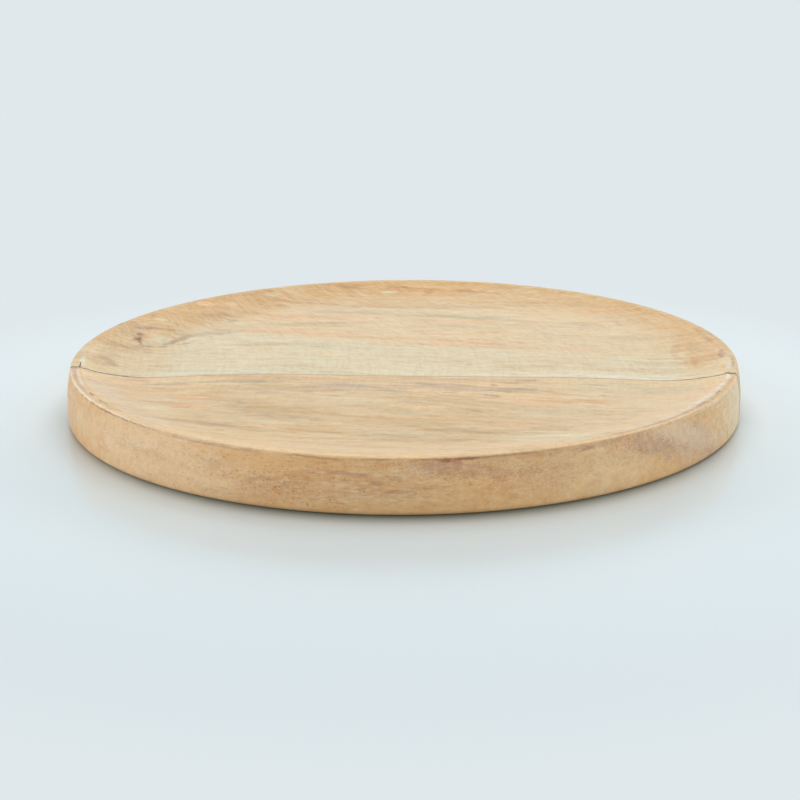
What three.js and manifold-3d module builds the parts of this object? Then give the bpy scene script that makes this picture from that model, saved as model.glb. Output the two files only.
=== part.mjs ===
// A round wooden tray in millimetres, +Z up.
// Two boards of mango wood are glued edge to edge and then turned together into one shallow dish.
// The origin is the centre of the flat underside. +X runs along the grain and the glue line,
// and -Y is the front, where the narrower board is.

import * as THREE from "three";
import { mergeVertices, toCreasedNormals } from "three/addons/utils/BufferGeometryUtils.js";
import Module from "manifold-3d";

const wasm = await Module();
wasm.setup();

// Driving dimensions of the turned shape
const TRAY_RADIUS = 150;
const TRAY_HEIGHT = 23.5;
const FOOT_ROUNDING = 2.4; // between the underside and the wall
const UPRIGHT_HEIGHT = 10; // the wall stands straight up to here
const WALL_LEAN = 1.6; // and comes in by this much at the rim
const RIM_ROUNDING = 1.2; // outer edge of the rim
const RIM_FLAT = 3.8; // width of the flat on the rim
const SHOULDER_DROP = 0.4; // a fine step down from the rim's flat to the dish
const DISH_DEPTH = 4.2; // from the rim to the lowest ring of the dish
const LOW_RING_RADIUS = 112;
const CROWN_RISE = 1.9; // the middle of the dish stands this far above its lowest ring

// Driving dimensions of the glued joint
const JOINT_Y = -26.8; // the boards meet here, in front of the middle
const GLUE_THICKNESS = 0.2;
const CHIP_WIDTH = 0.5; // a chip beside the joint on the left of the rim is filled with dark filler
const CHIP_DEPTH = 1;
const CHIP_TAIL = 8; // it runs across the rim, and this far back along the rim's inner edge

// How finely the round shapes are divided
const LATHE_SEGMENTS = 96;
const ARC_DIVISIONS = 2;
const CREASE_ANGLE = Math.PI / 6;

// A cutter runs this far past the wood.
const BEYOND = 5;

// Sizes that follow from those
const REACH = TRAY_RADIUS + BEYOND;
const RIM_OUTER_RADIUS = TRAY_RADIUS - WALL_LEAN;
const FLAT_OUTER_RADIUS = RIM_OUTER_RADIUS - RIM_ROUNDING;
const FLAT_INNER_RADIUS = FLAT_OUTER_RADIUS - RIM_FLAT;
const DISH_RADIUS = FLAT_INNER_RADIUS - SHOULDER_DROP;

// The dish is a low crown in the middle and a hollow cove round it. Both are arcs, and they meet
// without a corner. The cove's arc starts at the foot of the step and is lowest at the low ring.
function dishArcs() {
  const run = DISH_RADIUS - LOW_RING_RADIUS;
  const rise = DISH_DEPTH - SHOULDER_DROP;
  const coveRadius = (run ** 2 + rise ** 2) / (2 * rise);
  const centreDistance = (LOW_RING_RADIUS ** 2 + CROWN_RISE ** 2) / (2 * CROWN_RISE);
  const crownRadius = centreDistance - coveRadius;
  const lowZ = TRAY_HEIGHT - DISH_DEPTH;
  return {
    coveRadius,
    coveCentreZ: lowZ + coveRadius,
    edgeAngle: -Math.acos(run / coveRadius),
    crownRadius,
    crownCentreZ: lowZ + CROWN_RISE - crownRadius,
    meetingAngle: Math.acos(LOW_RING_RADIUS / centreDistance),
  };
}

// Half of the tray's section, from the axis out along the underside and back in over the dish.
function traySection() {
  const dish = dishArcs();
  const footCentre = TRAY_RADIUS - FOOT_ROUNDING;
  const rimCentreZ = TRAY_HEIGHT - RIM_ROUNDING;
  const section = new THREE.Path();
  section.moveTo(0, 0);
  section.lineTo(footCentre, 0);
  section.absarc(footCentre, FOOT_ROUNDING, FOOT_ROUNDING, -Math.PI / 2, 0);
  section.lineTo(TRAY_RADIUS, UPRIGHT_HEIGHT);
  section.quadraticCurveTo(
    TRAY_RADIUS,
    (UPRIGHT_HEIGHT + rimCentreZ) / 2,
    RIM_OUTER_RADIUS,
    rimCentreZ,
  );
  section.absarc(FLAT_OUTER_RADIUS, rimCentreZ, RIM_ROUNDING, 0, Math.PI / 2);
  section.lineTo(FLAT_INNER_RADIUS, TRAY_HEIGHT);
  section.lineTo(DISH_RADIUS, TRAY_HEIGHT - SHOULDER_DROP);
  section.absarc(
    LOW_RING_RADIUS,
    dish.coveCentreZ,
    dish.coveRadius,
    dish.edgeAngle,
    dish.meetingAngle - Math.PI,
    true,
  );
  section.absarc(0, dish.crownCentreZ, dish.crownRadius, dish.meetingAngle, Math.PI / 2);
  const points = section.getPoints(ARC_DIVISIONS);
  points[points.length - 1].x = 0;
  return points;
}

// A closed geometry as a solid that can be joined and cut.
function solidOf(geometry) {
  const bare = geometry.clone();
  bare.deleteAttribute("normal");
  bare.deleteAttribute("uv");
  const merged = mergeVertices(bare);
  return new wasm.Manifold(
    new wasm.Mesh({
      numProp: 3,
      vertProperties: merged.attributes.position.array,
      triVerts: new Uint32Array(merged.index.array),
    }),
  );
}

// The whole glued blank as it comes off the lathe.
function turnedBlank() {
  return solidOf(new THREE.LatheGeometry(traySection(), LATHE_SEGMENTS).rotateX(Math.PI / 2));
}

// A block between two opposite corners.
function block(low, high) {
  const size = new THREE.Vector3().subVectors(high, low);
  const middle = new THREE.Vector3().addVectors(low, high).multiplyScalar(0.5);
  return solidOf(
    new THREE.BoxGeometry(size.x, size.y, size.z).translate(middle.x, middle.y, middle.z),
  );
}

// The part of the tray's space that lies between two values of Y.
function between(lowY, highY) {
  return block(
    new THREE.Vector3(-REACH, lowY, -BEYOND),
    new THREE.Vector3(REACH, highY, TRAY_HEIGHT + BEYOND),
  );
}

// The chip's first leg, across the left of the rim on the joint.
function chipAcrossRim() {
  const innerX = Math.sqrt(FLAT_INNER_RADIUS ** 2 - JOINT_Y ** 2) - CHIP_WIDTH / 2;
  return block(
    new THREE.Vector3(-REACH, JOINT_Y - CHIP_WIDTH / 2, TRAY_HEIGHT - CHIP_DEPTH),
    new THREE.Vector3(-innerX, JOINT_Y + CHIP_WIDTH / 2, TRAY_HEIGHT + BEYOND),
  );
}

// The chip's second leg, from the joint back along the rim's inner edge.
function chipAlongRim() {
  const inner = FLAT_INNER_RADIUS - CHIP_WIDTH / 2;
  const outer = FLAT_INNER_RADIUS + CHIP_WIDTH / 2;
  const jointAngle = Math.PI + Math.asin(-JOINT_Y / FLAT_INNER_RADIUS);
  const tailAngle = jointAngle - CHIP_TAIL / FLAT_INNER_RADIUS;
  const strip = new THREE.Shape();
  strip.absarc(0, 0, outer, jointAngle, tailAngle, true);
  strip.absarc(0, 0, inner, tailAngle, jointAngle);
  const geometry = new THREE.ExtrudeGeometry(strip, {
    depth: CHIP_DEPTH + BEYOND,
    bevelEnabled: false,
    curveSegments: ARC_DIVISIONS,
  });
  return solidOf(geometry.translate(0, 0, TRAY_HEIGHT - CHIP_DEPTH));
}

// A solid as a named mesh with its own material.
function piece(name, solid, material) {
  const { numProp, numVert, vertProperties, triVerts } = solid.getMesh();
  const corners = new Float32Array(numVert * 3);
  for (let i = 0; i < numVert; i++) {
    corners.set(vertProperties.subarray(i * numProp, i * numProp + 3), i * 3);
  }
  const geometry = new THREE.BufferGeometry();
  geometry.setAttribute("position", new THREE.BufferAttribute(corners, 3));
  geometry.setIndex(new THREE.BufferAttribute(triVerts, 1));
  const mesh = new THREE.Mesh(toCreasedNormals(geometry, CREASE_ANGLE), material);
  mesh.name = name;
  return mesh;
}

function finish(color, roughness) {
  return new THREE.MeshStandardMaterial({ color, roughness, metalness: 0 });
}

// The front board is the browner one, and the rear board is pale along the joint.
const rearWood = finish(0xdcc296, 0.6);
const frontWood = finish(0xd6b48a, 0.6);
const driedGlue = finish(0x8a6a4a, 0.5);
const darkFiller = finish(0x4f3c2e, 0.8);

const blank = turnedBlank();
const chip = chipAcrossRim().add(chipAlongRim());
const wood = blank.subtract(chip);
const glueFront = JOINT_Y - GLUE_THICKNESS / 2;
const glueRear = JOINT_Y + GLUE_THICKNESS / 2;

const tray = new THREE.Group();
tray.name = "round_tray";
tray.add(
  piece("rear_board", wood.intersect(between(glueRear, REACH)), rearWood),
  piece("front_board", wood.intersect(between(-REACH, glueFront)), frontWood),
  piece("glue_line", wood.intersect(between(glueFront, glueRear)), driedGlue),
  piece("rim_filler", blank.intersect(chip), darkFiller),
);

export default tray;
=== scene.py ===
# %% [markdown]
# # A round tray turned from two boards
#
# The real tray is mango wood. Two planed boards are glued edge to edge, and the glued blank is
# then turned on a lathe: a flat underside, an upright wall, a narrow flat rim and a shallow dish.
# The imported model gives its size, so the first cell loads that model and keeps its box.

# %% Load the frame
import math

import bpy
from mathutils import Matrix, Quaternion, Vector


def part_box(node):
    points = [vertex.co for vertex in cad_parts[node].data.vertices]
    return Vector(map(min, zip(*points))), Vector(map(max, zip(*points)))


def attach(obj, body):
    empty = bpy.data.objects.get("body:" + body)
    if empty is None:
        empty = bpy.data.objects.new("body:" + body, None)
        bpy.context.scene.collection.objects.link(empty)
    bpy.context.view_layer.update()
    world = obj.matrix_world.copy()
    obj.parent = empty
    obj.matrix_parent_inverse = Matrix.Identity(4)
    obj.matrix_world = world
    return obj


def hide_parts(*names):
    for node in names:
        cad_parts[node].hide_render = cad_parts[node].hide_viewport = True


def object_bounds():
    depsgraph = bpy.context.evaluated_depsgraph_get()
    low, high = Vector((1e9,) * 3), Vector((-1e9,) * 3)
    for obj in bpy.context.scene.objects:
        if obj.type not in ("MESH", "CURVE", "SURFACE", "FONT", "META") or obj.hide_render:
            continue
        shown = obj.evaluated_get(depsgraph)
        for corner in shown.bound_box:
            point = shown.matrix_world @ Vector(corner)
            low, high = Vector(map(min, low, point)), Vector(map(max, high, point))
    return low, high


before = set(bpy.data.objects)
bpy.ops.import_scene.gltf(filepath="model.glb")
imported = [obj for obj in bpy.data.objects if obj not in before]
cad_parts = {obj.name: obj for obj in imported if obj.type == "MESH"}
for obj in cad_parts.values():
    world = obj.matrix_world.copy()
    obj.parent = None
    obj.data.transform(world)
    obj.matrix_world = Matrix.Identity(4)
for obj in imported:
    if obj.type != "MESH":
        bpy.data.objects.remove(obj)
cad_low, cad_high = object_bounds()
MM = 0.001
print("CAD box in mm:", [round(v / MM, 2) for v in cad_high - cad_low])

# %% [markdown]
# ## The camera
#
# The camera looks down on the tray at about 17 degrees, from a little to the right of straight
# in front. A long lens keeps the far rim nearly as wide as the near one. The distance and the
# angles were fitted to the rim's ellipse and the wall's outline.

# %% Camera
CAMERA_DISTANCE = 0.897
CAMERA_ELEVATION = math.radians(16.62)
CAMERA_TURN = math.radians(3.233)
CAMERA_ROLL = math.radians(-0.345)
CAMERA_AIM = Vector((-0.00214, 0.0064, 0.0))
LENS = 89.07

camera = bpy.data.objects.new("camera", bpy.data.cameras.new("camera"))
camera.data.lens = LENS
camera.location = CAMERA_DISTANCE * Vector(
    (
        math.cos(CAMERA_ELEVATION) * math.sin(CAMERA_TURN),
        -math.cos(CAMERA_ELEVATION) * math.cos(CAMERA_TURN),
        math.sin(CAMERA_ELEVATION),
    )
)
looking = (CAMERA_AIM - camera.location).to_track_quat("-Z", "Y")
camera.rotation_mode = "QUATERNION"
camera.rotation_quaternion = looking @ Quaternion((0, 0, 1), CAMERA_ROLL)
bpy.context.scene.collection.objects.link(camera)
bpy.context.scene.camera = camera
print("camera at", [round(v, 3) for v in camera.location])

# %% [markdown]
# ## The turned section
#
# A turned piece is one outline spun about its axis, so the outline carries nearly all of its
# shape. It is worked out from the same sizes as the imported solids: a rounded foot, a wall that
# leans in towards the rim, a small rounding, the flat, a fine step, a hollow cove and a low
# crown in the middle of the dish. Here it only gets more points than the solids have.

# %% Sizes from the frame
TRAY_RADIUS = (cad_high.x - cad_low.x) / 2
TRAY_HEIGHT = cad_high.z
glue_low, glue_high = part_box("glue_line")
JOINT_Y = (glue_low.y + glue_high.y) / 2
GLUE_THICKNESS = glue_high.y - glue_low.y
FOOT_ROUNDING = 2.4 * MM
UPRIGHT_HEIGHT = 10 * MM
WALL_LEAN = 1.6 * MM
RIM_ROUNDING = 1.2 * MM
RIM_FLAT = 3.8 * MM
SHOULDER_DROP = 0.4 * MM
DISH_DEPTH = 4.2 * MM
LOW_RING_RADIUS = 112 * MM
CROWN_RISE = 1.9 * MM
RIM_OUTER_RADIUS = TRAY_RADIUS - WALL_LEAN
FLAT_OUTER_RADIUS = RIM_OUTER_RADIUS - RIM_ROUNDING
FLAT_INNER_RADIUS = FLAT_OUTER_RADIUS - RIM_FLAT
DISH_RADIUS = FLAT_INNER_RADIUS - SHOULDER_DROP
print("rim flat from", round(FLAT_INNER_RADIUS / MM, 1), "to", round(FLAT_OUTER_RADIUS / MM, 1))

# %% The outline, from the axis out along the underside and back in over the dish
UNDERSIDE_RINGS = (0, 0.5, 0.9, 1)  # as shares of the underside's radius
FOOT_STEPS = 6  # how many short edges stand for each curve
LEAN_STEPS = 6
ROUNDING_STEPS = 5
FLAT_STEPS = 4
COVE_STEPS = 14
CROWN_STEPS = 14


def arc(centre_x, centre_z, radius, start, end, steps):
    """Points of an arc in the XZ plane, its first one left out."""
    angles = [start + (end - start) * k / steps for k in range(1, steps + 1)]
    return [
        Vector((centre_x + radius * math.cos(a), 0, centre_z + radius * math.sin(a)))
        for a in angles
    ]


def turned_section():
    """The half section as a list of points with y at 0."""
    run = DISH_RADIUS - LOW_RING_RADIUS
    rise = DISH_DEPTH - SHOULDER_DROP
    cove_radius = (run**2 + rise**2) / (2 * rise)
    centre_distance = (LOW_RING_RADIUS**2 + CROWN_RISE**2) / (2 * CROWN_RISE)
    crown_radius = centre_distance - cove_radius
    low_z = TRAY_HEIGHT - DISH_DEPTH
    edge_angle = -math.acos(run / cove_radius)
    meeting_angle = math.acos(LOW_RING_RADIUS / centre_distance)
    foot_x = TRAY_RADIUS - FOOT_ROUNDING
    rim_z = TRAY_HEIGHT - RIM_ROUNDING
    points = [Vector((foot_x * share, 0, 0)) for share in UNDERSIDE_RINGS]
    points += arc(foot_x, FOOT_ROUNDING, FOOT_ROUNDING, -math.pi / 2, 0, FOOT_STEPS)
    for k in range(LEAN_STEPS + 1):
        share = k / LEAN_STEPS
        height = UPRIGHT_HEIGHT + (rim_z - UPRIGHT_HEIGHT) * share
        points.append(Vector((TRAY_RADIUS - WALL_LEAN * share**2, 0, height)))
    points += arc(FLAT_OUTER_RADIUS, rim_z, RIM_ROUNDING, 0, math.pi / 2, ROUNDING_STEPS)
    for k in range(1, FLAT_STEPS + 1):
        points.append(Vector((FLAT_OUTER_RADIUS - RIM_FLAT * k / FLAT_STEPS, 0, TRAY_HEIGHT)))
    points.append(Vector((DISH_RADIUS, 0, TRAY_HEIGHT - SHOULDER_DROP)))
    cove_z = low_z + cove_radius
    meeting = meeting_angle - math.pi
    points += arc(LOW_RING_RADIUS, cove_z, cove_radius, edge_angle, meeting, COVE_STEPS)
    crown_z = low_z + CROWN_RISE - crown_radius
    points += arc(0, crown_z, crown_radius, meeting_angle, math.pi / 2, CROWN_STEPS)
    points[-1].x = 0
    return points


section = turned_section()
print("the section has", len(section), "points")

# %% [markdown]
# ## Turning the blank
#
# On the lathe the outline is cut by a gouge that follows it while the wood spins. In Blender the
# same is done by drawing the outline as a line of edges and spinning it about Z. The line starts
# as a small plane merged to one point, which is then extruded to the next point, and so on.

# %% Helpers for modelling by hand
def select_only(piece):
    """Leave edit mode, and make piece the one selected and active object."""
    if bpy.context.mode != "OBJECT":
        bpy.ops.object.mode_set(mode="OBJECT")
    bpy.ops.object.select_all(action="DESELECT")
    piece.select_set(True)
    bpy.context.view_layer.objects.active = piece


def edit(piece, everything=False):
    """Go into edit mode on piece with nothing, or everything, selected."""
    select_only(piece)
    bpy.ops.object.mode_set(mode="EDIT")
    bpy.ops.mesh.select_mode(type="VERT")
    bpy.ops.mesh.select_all(action="SELECT" if everything else "DESELECT")


def finish_editing():
    """Back to object mode, where the mesh can be read and its points selected in code."""
    bpy.ops.object.mode_set(mode="OBJECT")


def clear_selection(piece):
    """Leave nothing selected inside piece."""
    edit(piece)
    finish_editing()


def drawn_line(name, points):
    """A new object that holds one line of edges through points."""
    bpy.ops.object.select_all(action="DESELECT")
    bpy.ops.mesh.primitive_plane_add(size=MM, location=points[0])
    line = bpy.context.active_object
    line.name = line.data.name = name
    edit(line, everything=True)
    bpy.ops.mesh.merge(type="CENTER")
    for last, point in zip(points, points[1:]):
        bpy.ops.mesh.extrude_vertices_move(TRANSFORM_OT_translate={"value": point - last})
    finish_editing()
    bpy.ops.object.transform_apply(location=True)
    return line


# %% Spin the outline
TURNS = 720
MERGING_DISTANCE = 0.002 * MM

blank = drawn_line("turned_blank", section)
edit(blank, everything=True)
bpy.ops.mesh.spin(steps=TURNS, angle=2 * math.pi, center=(0, 0, 0), axis=(0, 0, 1))
bpy.ops.mesh.select_all(action="SELECT")
bpy.ops.mesh.remove_doubles(threshold=MERGING_DISTANCE)
bpy.ops.mesh.normals_make_consistent(inside=False)
finish_editing()
print("the blank has", len(blank.data.polygons), "faces")

# %% [markdown]
# ## A dish that isn't quite even
#
# The glue line is straight, yet in the picture it sags and rises by a millimetre or two. It lies
# on a surface that a gouge left a little uneven. Proportional editing makes that: one point of
# the dish is moved, and its neighbours follow it less and less. The rim, the wall and the
# underside are hidden meanwhile, so they stay true.

# %% Pull the dish up and down a little
SWELLS = [  # the place in the dish, the lift, and how far the neighbours follow, in millimetres
    (-122, -28, -0.55, 36),
    (-62, -26, 0.5, 48),
    (4, -28, -0.3, 44),
    (92, -25, 0.75, 56),
]
TRUE_EDGE = 3 * MM  # the outermost ring of the dish stays true as well


def hide_all_but_dish(piece):
    """Hide the rim, the wall and the underside of piece in edit mode."""
    clear_selection(piece)
    for vertex in piece.data.vertices:
        beyond_dish = math.hypot(vertex.co.x, vertex.co.y) > DISH_RADIUS - TRUE_EDGE
        vertex.select = beyond_dish or vertex.co.z < TRAY_HEIGHT / 2
    bpy.ops.object.mode_set(mode="EDIT")
    bpy.ops.mesh.hide(unselected=False)


def pull(piece, place, lift, reach):
    """Lift the shown point nearest to place, and its neighbours with it."""
    clear_selection(piece)
    shown = [vertex for vertex in piece.data.vertices if not vertex.hide]
    nearest = min(shown, key=lambda vertex: (vertex.co.xy - place).length)
    nearest.select = True
    bpy.ops.object.mode_set(mode="EDIT")
    bpy.ops.transform.translate(
        value=(0, 0, lift),
        use_proportional_edit=True,
        proportional_edit_falloff="SMOOTH",
        proportional_size=reach,
    )
    finish_editing()


hide_all_but_dish(blank)
for x, y, lift, reach in SWELLS:
    pull(blank, Vector((x, y)) * MM, lift * MM, reach * MM)
edit(blank)
bpy.ops.mesh.reveal(select=False)
finish_editing()
print("the dish has", len(SWELLS), "swells of up to", max(s[2] for s in SWELLS), "mm")

# %% [markdown]
# ## The filled chip
#
# A splinter came off the rim beside the joint, and dark filler closes the hole. The hole is one
# flat outline, shaped like an L with ragged sides, filled with a face and extruded. A boolean
# takes it out of the wood, and another keeps what the hole and the blank have in common, so the
# filler ends flush with the rim.

# %% The shape of the hole
CHIP_DEPTH = 1 * MM
CHIP_RADIUS = FLAT_INNER_RADIUS + 0.6 * MM
CHIP_TAIL_WIDTHS = (0.62, 0.5, 0.58, 0.42, 0.46, 0.3)  # from the joint to the end of the tail
CHIP_TAIL = 8 * MM
CHIP_LEG_WIDTH = 0.55 * MM
CUTTER_HEIGHT = 3 * MM
PAST_THE_WALL = 2 * MM


def chip_outline():
    """The L from above, at the depth of the hole."""
    floor_z = TRAY_HEIGHT - CHIP_DEPTH
    joint_angle = math.pi + math.asin(-JOINT_Y / CHIP_RADIUS)
    last = len(CHIP_TAIL_WIDTHS) - 1
    inner, outer = [], []
    for k, width in enumerate(CHIP_TAIL_WIDTHS):
        angle = joint_angle - (CHIP_TAIL / CHIP_RADIUS) * k / last
        for side, way in ((inner, -0.5), (outer, 0.5)):
            reach = CHIP_RADIUS + way * width * MM
            side.append(Vector((reach * math.cos(angle), reach * math.sin(angle), floor_z)))
    front_y = JOINT_Y - CHIP_LEG_WIDTH / 2
    rear_y = JOINT_Y + CHIP_LEG_WIDTH / 2
    outside = -TRAY_RADIUS - PAST_THE_WALL
    inner[0].y = front_y
    leg = [Vector((outside, front_y, floor_z)), Vector((outside, rear_y, floor_z))]
    corner = Vector((outer[1].x, rear_y, floor_z))
    return [inner[0]] + leg + [corner] + outer[1:] + inner[:0:-1]


hole = drawn_line("hole", chip_outline())
edit(hole, everything=True)
bpy.ops.mesh.edge_face_add()
bpy.ops.mesh.extrude_region_move(TRANSFORM_OT_translate={"value": (0, 0, CUTTER_HEIGHT)})
bpy.ops.mesh.select_all(action="SELECT")
bpy.ops.mesh.normals_make_consistent(inside=False)
finish_editing()
print("the hole has", len(hole.data.polygons), "faces")

# %% [markdown]
# ## Telling the boards apart
#
# The blank is one body. Bisecting it on the two faces of the glue line gives the rear board, the
# front board and the film of glue between them, each closed where it was cut. Then the hole is
# taken out of each. Faces that meet at a small angle are shaded smooth, and sharper corners, such
# as the cut edges, stay crisp.

# %% Cut the blank into its pieces
SMOOTHING_ANGLE = math.radians(35)


def copy_of(piece, name):
    """A copy of piece with its own mesh."""
    copy = bpy.data.objects.new(name, piece.data.copy())
    copy.data.name = name
    bpy.context.scene.collection.objects.link(copy)
    return copy


def cut_across(piece, y, keep_rear):
    """Cut piece on a plane across Y, throw one side away and close the cut."""
    edit(piece, everything=True)
    bpy.ops.mesh.bisect(
        plane_co=(0, y, 0),
        plane_no=(0, 1, 0),
        use_fill=True,
        clear_inner=keep_rear,
        clear_outer=not keep_rear,
    )
    finish_editing()


def apply_boolean(piece, other, operation):
    """Join, cut or cross piece with other, applied at once."""
    select_only(piece)
    boolean = piece.modifiers.new("chip", "BOOLEAN")
    boolean.operation = operation
    boolean.object = other
    boolean.solver = "EXACT"
    bpy.ops.object.modifier_apply(modifier=boolean.name)


filler = copy_of(blank, "chip_filler")
apply_boolean(filler, hole, "INTERSECT")
rear_of_glue = JOINT_Y + GLUE_THICKNESS / 2
front_of_glue = JOINT_Y - GLUE_THICKNESS / 2
rear_board = copy_of(blank, "rear_board_wood")
cut_across(rear_board, rear_of_glue, keep_rear=True)
front_board = copy_of(blank, "front_board_wood")
cut_across(front_board, front_of_glue, keep_rear=False)
glue_film = copy_of(blank, "glue_film")
cut_across(glue_film, rear_of_glue, keep_rear=False)
cut_across(glue_film, front_of_glue, keep_rear=True)
for board in (rear_board, front_board, glue_film):
    apply_boolean(board, hole, "DIFFERENCE")
bpy.data.objects.remove(blank)
bpy.data.objects.remove(hole)
for board in (rear_board, front_board, glue_film, filler):
    select_only(board)
    bpy.ops.object.shade_smooth_by_angle(angle=SMOOTHING_ANGLE)
    print(board.name, "has", len(board.data.polygons), "faces")

# %% [markdown]
# ## Taking the nodes' places
#
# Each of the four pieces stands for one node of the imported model, which is then hidden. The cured
# glue makes one rigid body of them all, so they ride on the root.

# %% Each piece stands for its node
for board, node, slot in (
    (rear_board, "rear_board", "rear_wood"),
    (front_board, "front_board", "front_wood"),
    (glue_film, "glue_line", "dried_glue"),
    (filler, "rim_filler", "dark_filler"),
):
    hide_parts(node)
    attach(board, "root")
    print(board.name, "stands for", node)

# %% [markdown]
# ## A bench for finishes
#
# A finish is a tree of nodes. Written out node by node it is hard to read, so a small bench
# places a node, wires what it is given, and hands back its output. A formula then reads from left
# to right. Effects that both boards share become node groups with named inputs and outputs.

# %% The bench
class Bench:
    """Places nodes in one tree, and wires them."""

    def __init__(self, tree):
        self.tree = tree

    def node(self, kind, **settings):
        """A new node with its settings."""
        placed = self.tree.nodes.new(kind)
        for name, value in settings.items():
            setattr(placed, name, value)
        return placed

    def feed(self, socket, value):
        """Wire value into socket, or write it there if it is a plain number or colour."""
        if isinstance(value, bpy.types.NodeSocket):
            self.tree.links.new(value, socket)
        else:
            socket.default_value = value

    def math(self, operation, *values, clamp=False):
        """One step of arithmetic."""
        placed = self.node("ShaderNodeMath", operation=operation, use_clamp=clamp)
        for socket, value in zip(placed.inputs, values):
            self.feed(socket, value)
        return placed.outputs[0]

    def vector(self, operation, *values):
        """One step of arithmetic on places, which gives a place or a number."""
        placed = self.node("ShaderNodeVectorMath", operation=operation)
        for socket, value in zip(placed.inputs, values):
            self.feed(socket, value)
        gives_number = operation in ("DOT_PRODUCT", "LENGTH", "DISTANCE")
        return placed.outputs["Value" if gives_number else "Vector"]

    def combine(self, x, y, z):
        """A place made of its three numbers."""
        placed = self.node("ShaderNodeCombineXYZ")
        for socket, value in zip(placed.inputs, (x, y, z)):
            self.feed(socket, value)
        return placed.outputs[0]

    def separate(self, place):
        """The three numbers of a place."""
        placed = self.node("ShaderNodeSeparateXYZ")
        self.feed(placed.inputs[0], place)
        return placed.outputs

    def mix(self, share, first, second, blend="MIX"):
        """Two colours mixed. Sockets 6 and 7, and 2 of the outputs, are the ones for colours."""
        placed = self.node("ShaderNodeMix", data_type="RGBA", blend_type=blend)
        for socket, value in zip((0, 6, 7), (share, first, second)):
            self.feed(placed.inputs[socket], value)
        return placed.outputs[2]

    def rise(self, value, start, end, low=0.0, high=1.0):
        """A smooth step from low, where value is at start, to high, where it is at end."""
        placed = self.node("ShaderNodeMapRange", interpolation_type="SMOOTHSTEP")
        for socket, number in zip(placed.inputs, (value, start, end, low, high)):
            self.feed(socket, number)
        return placed.outputs[0]

    def noise(self, place, detail=2.0, roughness=0.5, colour=False):
        """Soft noise with about one cell for each unit of place, as a number or a colour."""
        placed = self.node("ShaderNodeTexNoise")
        self.feed(placed.inputs["Vector"], place)
        placed.inputs["Scale"].default_value = 1.0
        placed.inputs["Detail"].default_value = detail
        placed.inputs["Roughness"].default_value = roughness
        return placed.outputs[1 if colour else 0]

    def group(self, tree, **values):
        """Place a node group. An input's name is given with _ for each space."""
        placed = self.node("ShaderNodeGroup", node_tree=tree)
        for name, value in values.items():
            self.feed(placed.inputs[name.replace("_", " ")], value)
        return placed.outputs


def new_group(name, inputs, outputs):
    """A bench on a new node group, with its input sockets and its output sockets."""
    tree = bpy.data.node_groups.new(name, "ShaderNodeTree")
    for label, kind in inputs:
        tree.interface.new_socket(label, in_out="INPUT", socket_type="NodeSocket" + kind)
    for label, kind in outputs:
        tree.interface.new_socket(label, in_out="OUTPUT", socket_type="NodeSocket" + kind)
    bench = Bench(tree)
    taken = bench.node("NodeGroupInput").outputs
    given = bench.node("NodeGroupOutput").inputs
    return bench, taken, given


def srgb(red, green, blue):
    """A colour given as it looks on screen, from 0 to 255, as Blender's linear values."""
    shares = [v / 255 for v in (red, green, blue)]
    return [s / 12.92 if s <= 0.04045 else ((s + 0.055) / 1.055) ** 2.4 for s in shares] + [1]


# %% [markdown]
# ## Where on the tray
#
# All the wood's marks are placed in millimetres on the tray itself, so they stay where they are
# whichever way the camera looks. This group turns Object coordinates into four handy measures:
# the place, the distance from the turning axis, the height, and the wall rolled out flat, with
# the length round it from the front as X and the height as Y.

# %% The place group
bench, taken, given = new_group(
    "place_on_tray",
    [],
    [("Place", "Vector"), ("Radius", "Float"), ("Height", "Float"), ("Rolled out", "Vector")],
)
place = bench.vector("SCALE", bench.node("ShaderNodeTexCoord").outputs["Object"])
place.node.inputs["Scale"].default_value = 1 / MM  # from metres to millimetres
x, y, z = bench.separate(place)
flat_place = bench.combine(x, y, 0.0)
round_angle = bench.math("ARCTAN2", x, bench.math("MULTIPLY", y, -1.0))
arc_length = bench.math("MULTIPLY", round_angle, TRAY_RADIUS / MM)
bench.feed(given["Place"], place)
bench.feed(given["Radius"], bench.vector("LENGTH", flat_place))
bench.feed(given["Height"], z)
bench.feed(given["Rolled out"], bench.combine(arc_length, z, 0.0))
PLACE_ON_TRAY = bench.tree
print("group", PLACE_ON_TRAY.name)

# %% [markdown]
# ## Soft patches
#
# Wood is full of patches with soft edges: a mineral stain, a band of sapwood, a knot. Each is an
# ellipse, long along the grain and often bent a little. Its edge is torn along the grain by the
# streaks, as a stain follows the fibres. One group gives the mask of such a patch, and each patch
# is one call of it. Along and Across are directions divided by the patch's half length and width.

# %% The patch group
PATCH_EDGE = (1.2, 0.5)  # in half widths: nothing outside the first, full inside the second

bench, taken, given = new_group(
    "soft_patch",
    [
        ("Place", "Vector"),
        ("Centre", "Vector"),
        ("Along", "Vector"),
        ("Across", "Vector"),
        ("Bend", "Float"),
        ("Streaks", "Float"),
        ("Tear", "Float"),
        ("Strength", "Float"),
    ],
    [("Mask", "Float")],
)
offset = bench.vector("SUBTRACT", taken["Place"], taken["Centre"])
along = bench.vector("DOT_PRODUCT", offset, taken["Along"])
across = bench.vector("DOT_PRODUCT", offset, taken["Across"])
along_squared = bench.math("MULTIPLY", along, along)
straightened = bench.math(
    "SUBTRACT", across, bench.math("MULTIPLY", taken["Bend"], along_squared)
)
distance = bench.math(
    "SQRT",
    bench.math("ADD", along_squared, bench.math("MULTIPLY", straightened, straightened)),
)
tearing = bench.math("MULTIPLY", bench.math("SUBTRACT", taken["Streaks"], 0.5), taken["Tear"])
mask = bench.rise(bench.math("ADD", distance, tearing), *PATCH_EDGE)
bench.feed(given["Mask"], bench.math("MULTIPLY", mask, taken["Strength"]))
SOFT_PATCH = bench.tree
print("group", SOFT_PATCH.name)

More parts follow.
